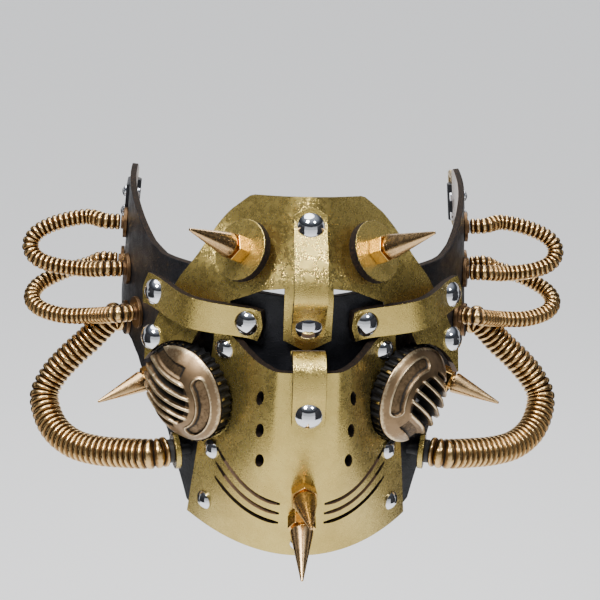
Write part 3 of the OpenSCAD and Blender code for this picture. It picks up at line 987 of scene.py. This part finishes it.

        # pocket with a hooked lip on one side, narrow slot with a lip on the other; painted shade in the
        # pocket, along its edges and in the slot, and painted highlights on the hook and the lip
        pocket = step(-13.4, -13.1, y) * (1 - step(-9.6, -9.3, y)) * step(-2.6, -2.3, x)
        z -= self.pocket_depth * pocket
        border = pocket * (np.exp(-((y + 12.8) / 0.5) ** 2) + np.exp(-((x + 2) / 0.5) ** 2))
        relief -= 0.12 * pocket + 0.35 * np.clip(border, 0, 1)
        hook = (1 - step(-13.5, -13.2, y)) * step(-3, 2, x)
        z += self.hook_rise * hook
        relief += 0.1 * hook
        bend = self.side_slot_start + self.side_slot_slope * (x + 1)
        narrow = (1 - step(0.5, 0.75, np.abs(y - bend - 0.6))) * step(-2.0, -1.2, x)
        z -= narrow * (z - self.side_slot_floor)
        relief = relief * (1 - narrow) - 0.1 * narrow
        lip = step(bend + 1.4, bend + 1.8, y) * step(-3, 2, x)
        z += self.lip_rise * lip
        relief += 0.12 * lip
        wavy = self.ripple * np.sin(1.7 * x + 2 * np.sin(0.9 * y)) * np.sin(1.3 * y + np.sin(1.1 * x))
        return z + wavy * floor, np.clip(relief, 0, 1)


def store_points(mesh: bpy.types.Mesh, name: str, values: np.ndarray) -> None:
    """Stores a point attribute that the worn metals read.

    Args:
        mesh: the mesh.
        name: the attribute's name.
        values: one value for each point.
    """
    shade = mesh.attributes.new(name, "FLOAT", "POINT")
    shade.data.foreach_set("value", values.astype(np.float32))


@dataclass(frozen=True)
class GearRing:
    """The toothed ring behind a grille: black, with painted highlights in gilt on its teeth's tips."""

    side: str
    outer: float = 18.5 * MM
    root: float = 17.6 * MM
    front: float = 3 * MM
    behind_tone: float = 0.2
    tip_tone: float = 0.75
    tip_spread: float = 0.35
    waves: tuple[float, float] = (900.0, 700.0)

    def build(self) -> Piece:
        """Makes the piece and stores a painted highlight that grows towards the teeth's tips.

        Returns:
            The piece.
        """
        node = f"{self.side}_gear_ring"
        joint = joint_of(f"{self.side}_grille")
        axis, middle = Vector(joint["axis"]), Vector(joint["pos_m"])
        bm = welded(node)
        smoothed(bm, 30.0)
        mesh = as_mesh(bm, node)
        relief = []
        for v in mesh.vertices:
            arm = v.co - middle
            height = arm.dot(axis)
            span = (arm - axis * height).length
            tip = np.clip((span - self.root) / (self.outer - self.root), 0, 1)
            # painted highlight: gilt rising towards the tooth tips in waves; points behind the front get a
            # flat low tone
            patch = math.sin(v.co.z * self.waves[0]) * math.sin(v.co.x * self.waves[1])
            painted_tip_glint = float(tip * (self.tip_tone + self.tip_spread * patch))
            relief.append(painted_tip_glint if height > self.front else self.behind_tone)
        store_points(mesh, "relief", np.array(relief))
        piece = Piece(node, mesh, [Finish.RING])
        soften(piece.object, 0.12 * MM, 30.0)
        return piece


# ---------------------------------------------------------------- camera, light and floor


@dataclass(frozen=True)
class Viewpoint:
    """Where the mask is looked at from: angles in degrees, lengths in metres."""

    azimuth: float = -3.5
    elevation: float = 21.5
    roll: float = 1.8
    distance: float = 0.320
    lens: float = 57.6
    aim: tuple[float, float, float] = (0.0, -0.006, 0.0)
    aside: float = 0.00267
    below: float = 0.00733
    clip: tuple[float, float] = (0.02, 20.0)

    def place(self) -> None:
        """Makes the scene's camera."""
        a, e, t = (math.radians(x) for x in (self.azimuth, self.elevation, self.roll))
        look = Vector((-math.sin(a) * math.cos(e), math.cos(a) * math.cos(e), -math.sin(e)))
        level = Vector((math.cos(a), math.sin(a), 0.0))
        rise = level.cross(look)
        right = math.cos(t) * level + math.sin(t) * rise
        up = -math.sin(t) * level + math.cos(t) * rise
        spot = Vector(self.aim) - right * self.aside + up * self.below - look * self.distance
        data = bpy.data.cameras.new("camera")
        data.lens = self.lens
        data.clip_start, data.clip_end = self.clip
        camera = bpy.data.objects.new("camera", data)
        bpy.context.scene.collection.objects.link(camera)
        camera.matrix_world = Matrix(((right.x, up.x, -look.x, spot.x), (right.y, up.y, -look.y, spot.y),
                                      (right.z, up.z, -look.z, spot.z), (0, 0, 0, 1)))
        bpy.context.scene.camera = camera


@dataclass(frozen=True)
class Softbox:
    """A square area light aimed at the mask."""

    name: str
    spot: tuple[float, float, float]
    size: float
    power: float
    colour: Colour = (1.0, 1.0, 1.0)
    aim: tuple[float, float, float] = (0.0, 0.02, -0.02)

    def place(self) -> None:
        """Puts the light in the scene."""
        data = bpy.data.lights.new(self.name, "AREA")
        data.size, data.energy, data.color = self.size, self.power, self.colour
        light = bpy.data.objects.new(self.name, data)
        bpy.context.scene.collection.objects.link(light)
        light.location = self.spot
        beam = Vector(self.aim) - light.location
        light.rotation_euler = beam.to_track_quat("-Z", "Y").to_euler()


@dataclass
class Studio:
    """A large pale floor under soft light, with dark cards that give the metal something to mirror."""

    lights: list[Softbox] = field(default_factory=lambda: [
        Softbox("key", (-0.36, -0.46, 0.84), 0.24, 15.0, (1.0, 0.98, 0.95)),
        Softbox("fill", (0.42, -0.50, 0.80), 0.16, 4.0, (0.96, 0.98, 1.0)),
        Softbox("back", (0.15, 0.80, 0.55), 0.40, 4.0),
    ])
    floor_drop: float = 0.5
    floor_half: float = 25.0
    floor_colour: Colour = (0.93, 0.93, 0.93)
    sun_strength: float = 2.6
    sun_width: float = 50.0
    sun_tilt: tuple[float, float] = (-12.0, -8.0)
    sky_strength: float = 0.9
    horizon: tuple[float, Colour] = (0.26, (0.70, 0.71, 0.73))
    zenith: tuple[float, Colour] = (1.0, (0.62, 0.66, 0.74))
    dim_bands: tuple[tuple[float, float], ...] = ((0.38, 0.02), (0.62, 0.08))
    dim_tint: Colour = (1.0, 1.08, 1.25)
    card_half: float = 0.34
    card_colour: Colour = (0.008, 0.008, 0.01)
    cards: dict[str, tuple[float, float, float]] = field(default_factory=lambda: {
        "card_left": (-0.62, -0.22, -0.06),
        "card_right": (0.62, -0.22, -0.06),
        "card_back_left": (-0.62, 0.45, -0.26),
        "card_back_right": (0.62, 0.45, -0.26),
    })

    def place(self, low: float) -> None:
        """Builds the studio.

        Args:
            low: height of the mask's lowest point.
        """
        for light in self.lights:
            light.place()
        self._sun()
        self._sky()
        spot = (0, 0, low - self.floor_drop)
        self._card("floor", spot, self.floor_half, self.floor_colour, (0, 0, 1))
        for name, spot in self.cards.items():
            card = self._card(name, spot, self.card_half, self.card_colour, -Vector(spot))
            card.visible_camera = card.visible_shadow = card.visible_diffuse = False

    def _sun(self) -> None:
        """Adds the even light that keeps the floor pale."""
        data = bpy.data.lights.new("even", "SUN")
        data.energy, data.angle = self.sun_strength, math.radians(self.sun_width)
        light = bpy.data.objects.new("even", data)
        light.rotation_euler = (*(math.radians(tilt) for tilt in self.sun_tilt), 0)
        bpy.context.scene.collection.objects.link(light)

    def _sky(self) -> None:
        """Makes a sky with a pale horizon, a dim band above it and light overhead."""
        world = bpy.data.worlds.new("studio")
        world.use_nodes = True
        tree = world.node_tree
        place = tree.nodes.new("ShaderNodeTexCoord")
        split = tree.nodes.new("ShaderNodeSeparateXYZ")
        ramp = tree.nodes.new("ShaderNodeValToRGB")
        tree.links.new(place.outputs["Generated"], split.inputs[0])
        tree.links.new(split.outputs["Z"], ramp.inputs["Fac"])
        stops = ramp.color_ramp.elements
        for k, (position, colour) in enumerate((self.horizon, self.zenith)):
            stops[k].position, stops[k].color = position, (*colour, 1)
        for position, level in self.dim_bands:
            stops.new(position).color = (*(level * tint for tint in self.dim_tint), 1)
        tree.links.new(ramp.outputs["Color"], tree.nodes["Background"].inputs["Color"])
        tree.nodes["Background"].inputs["Strength"].default_value = self.sky_strength
        bpy.context.scene.world = world

    def _card(self, name: str, spot: tuple[float, float, float], half: float, colour: Colour,
              normal: object) -> bpy.types.Object:
        """Adds a flat square.

        Args:
            name: its name.
            spot: its middle.
            half: half its side.
            colour: its colour.
            normal: the way it faces.

        Returns:
            The square.
        """
        turn = Vector(normal).to_track_quat("Z", "Y")
        corners = [Vector(spot) + turn @ Vector((x * half, y * half, 0)) for x, y in
                   ((-1, -1), (1, -1), (1, 1), (-1, 1))]
        mesh = bpy.data.meshes.new(name)
        mesh.from_pydata([tuple(c) for c in corners], [], [(0, 1, 2, 3)])
        card = bpy.data.objects.new(name, mesh)
        bpy.context.scene.collection.objects.link(card)
        sketch = Sketch(name)
        mesh.materials.append(sketch.finish(Base_Color=colour, Roughness=0.9))
        card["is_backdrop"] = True
        return card


# ---------------------------------------------------------------- the whole mask


class Mask:
    """Every piece of the mask."""

    def build(self) -> None:
        """Makes all pieces, sub-assembly by sub-assembly."""
        self.leather()
        self.hoses()
        self.spikes()
        self.rivets()
        self.vents()

    def leather(self) -> None:
        """The face piece, its gold plates and the straps."""
        LeatherSheet("leather_base", Finish.BLACK).build()
        for node, finish in (("nose_plate", Finish.GOLD), ("chin_plate", Finish.SMOOTH_GOLD)):
            LeatherSheet(node, finish, bevel=0.0).build()
        for node in ("nose_strap", "chin_strap", "left_cheek_strap", "right_cheek_strap"):
            LeatherSheet(node, Finish.GOLD).build()
        for side in SIDES:
            solid_piece(f"{side}_strap_tab", Finish.BLACK, bevel=0.2 * MM)
            solid_piece(f"{side}_strap_loop", Finish.LOOP, 50.0)

    def hoses(self) -> None:
        """The three hoses on each side, with what holds their ends."""
        for name, side in SIDES.items():
            Hose(f"{name}_upper_hose", side, THIN, UPPER_ROUTE).build()
            Hose(f"{name}_middle_hose", side, THIN, MIDDLE_ROUTE).build()
            Hose(f"{name}_lower_hose", side, THICK, LOWER_ROUTE).build()
            solid_piece(f"{name}_hose_flanges", Finish.FLANGE, bevel=0.2 * MM)
            solid_piece(f"{name}_hose_disc", Finish.GOLD, bevel=0.3 * MM)
            solid_piece(f"{name}_hose_collar", Finish.COLLAR, bevel=0.2 * MM)

    def spikes(self) -> None:
        """Six spikes: a hexagonal foot and a cone each, and two gold discs at the brow."""
        for side in SIDES:
            LeatherSheet(f"{side}_brow_disc", Finish.GOLD).build()
        for place in ("left_brow", "right_brow", "left_side", "right_side", "upper_chin", "lower_chin"):
            solid_piece(f"{place}_hex", Finish.HEX, 25.0, bevel=0.25 * MM)
            solid_piece(f"{place}_cone", Finish.CONE, 30.0, bevel=0.15 * MM)

    def rivets(self) -> None:
        """All domed rivets."""
        groups = ("nose_rivets", "left_cheek_rivets", "right_cheek_rivets", "chin_rivets",
                  "chin_strap_rivet", "left_tab_rivets", "right_tab_rivets")
        for node in groups:
            solid_piece(node, Finish.CHROME, 30.0, bevel=0.15 * MM)

    def vents(self) -> None:
        """The two turning grilles with their toothed rings, posts and dark backs."""
        for side, turn in GRILLE_TURNS.items():
            Grille(side, turn).build()
            GearRing(side).build()
            solid_piece(f"{side}_ring_post", Finish.POST)
            solid_piece(f"{side}_backing", Finish.BACKING)


def main() -> None:
    """Builds the whole scene."""
    logging.basicConfig(level=logging.INFO, format="%(name)s: %(message)s")
    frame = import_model()
    cad_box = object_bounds()
    RECORD.update(frame["record"])
    FRAME_NODES.update(frame["nodes"])
    Viewpoint().place()
    Mask().build()
    Studio().place(cad_box[0].z)


if __name__ == "__main__":
    main()
